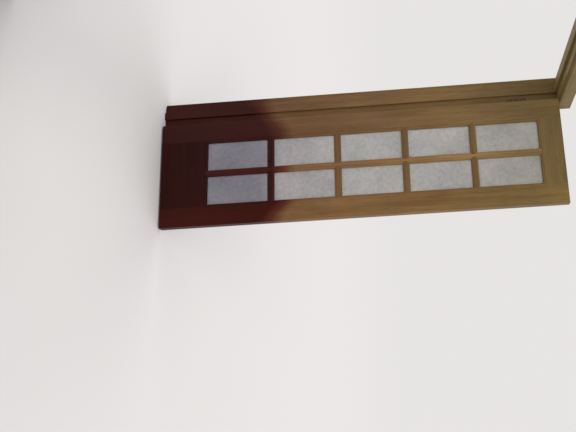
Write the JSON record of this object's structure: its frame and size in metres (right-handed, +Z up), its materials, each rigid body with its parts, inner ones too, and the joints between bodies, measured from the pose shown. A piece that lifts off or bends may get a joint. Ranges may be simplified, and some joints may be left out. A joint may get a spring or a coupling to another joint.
{
  "type": "pair of glazed interior doors in a lined frame",
  "caption": "Dark-stained timber leaf-and-a-half glazed interior doors with square lights, hung on butt hinges in a lined and architraved doorway.",
  "frame": {"origin": "centre of the right jamb's foot, where the small leaf hangs, at floor level in the middle of the lining's width", "axes": "+X across the opening from the main leaf's jamb towards the small leaf's jamb, +Y through the wall from the room side that the leaves open into to the hall side, +Z up"},
  "size_m": [2.0891, 0.6725, 2.064],
  "materials": {
    "stained_lining": "dark brown stain under satin varnish",
    "stained_architrave": "dark brown stain under satin varnish",
    "stained_leaf": "dark brown stain under satin varnish",
    "stained_bead": "dark brown stain under satin varnish",
    "obscured_glass": "satin obscured",
    "hinge_steel": "dark bronze lacquer"
  },
  "bodies": {
    "frame": {"hall_head_architrave": "stained_architrave", "hall_left_architrave": "stained_architrave", "hall_right_architrave": "stained_architrave", "head_lining": "stained_lining", "head_stop": "stained_lining", "left_frame_hinge_plates": "hinge_steel", "left_jamb": "stained_lining", "left_stop": "stained_lining", "right_frame_hinge_plates": "hinge_steel", "right_jamb": "stained_lining", "right_stop": "stained_lining", "room_head_architrave": "stained_architrave", "room_left_architrave": "stained_architrave", "room_right_architrave": "stained_architrave"},
    "small_leaf": {"small_beads": "stained_bead", "small_bottom_rail": "stained_leaf", "small_cross_bar_1": "stained_leaf", "small_cross_bar_2": "stained_leaf", "small_cross_bar_3": "stained_leaf", "small_cross_bar_4": "stained_leaf", "small_hinge_plates": "hinge_steel", "small_hinge_stile": "stained_leaf", "small_meeting_stile": "stained_leaf", "small_pane_1": "obscured_glass", "small_pane_10": "obscured_glass", "small_pane_2": "obscured_glass", "small_pane_3": "obscured_glass", "small_pane_4": "obscured_glass", "small_pane_5": "obscured_glass", "small_pane_6": "obscured_glass", "small_pane_7": "obscured_glass", "small_pane_8": "obscured_glass", "small_pane_9": "obscured_glass", "small_top_rail": "stained_leaf", "small_upright_bar": "stained_leaf"},
    "main_leaf": {"main_beads": "stained_bead", "main_bottom_rail": "stained_leaf", "main_cross_bar_1": "stained_leaf", "main_cross_bar_2": "stained_leaf", "main_cross_bar_3": "stained_leaf", "main_cross_bar_4": "stained_leaf", "main_hinge_plates": "hinge_steel", "main_hinge_stile": "stained_leaf", "main_meeting_stile": "stained_leaf", "main_pane_row_1": "obscured_glass", "main_pane_row_2": "obscured_glass", "main_pane_row_3": "obscured_glass", "main_pane_row_4": "obscured_glass", "main_pane_row_5": "obscured_glass", "main_top_rail": "stained_leaf", "main_upright_bar_1": "stained_leaf", "main_upright_bar_2": "stained_leaf"}
  },
  "joints": [
    {"name": "small_leaf_hinge", "type": "hinge", "parent": "frame", "child": "small_leaf", "pos_m": [-0.0175, -0.0645, 1.036], "axis": [0, 0, 1], "range_deg": [-90, 75]},
    {"name": "main_leaf_hinge", "type": "hinge", "parent": "frame", "child": "main_leaf", "pos_m": [-1.3185, -0.0645, 1.036], "axis": [0, 0, -1], "range_deg": [-160, 5]}
  ]
}
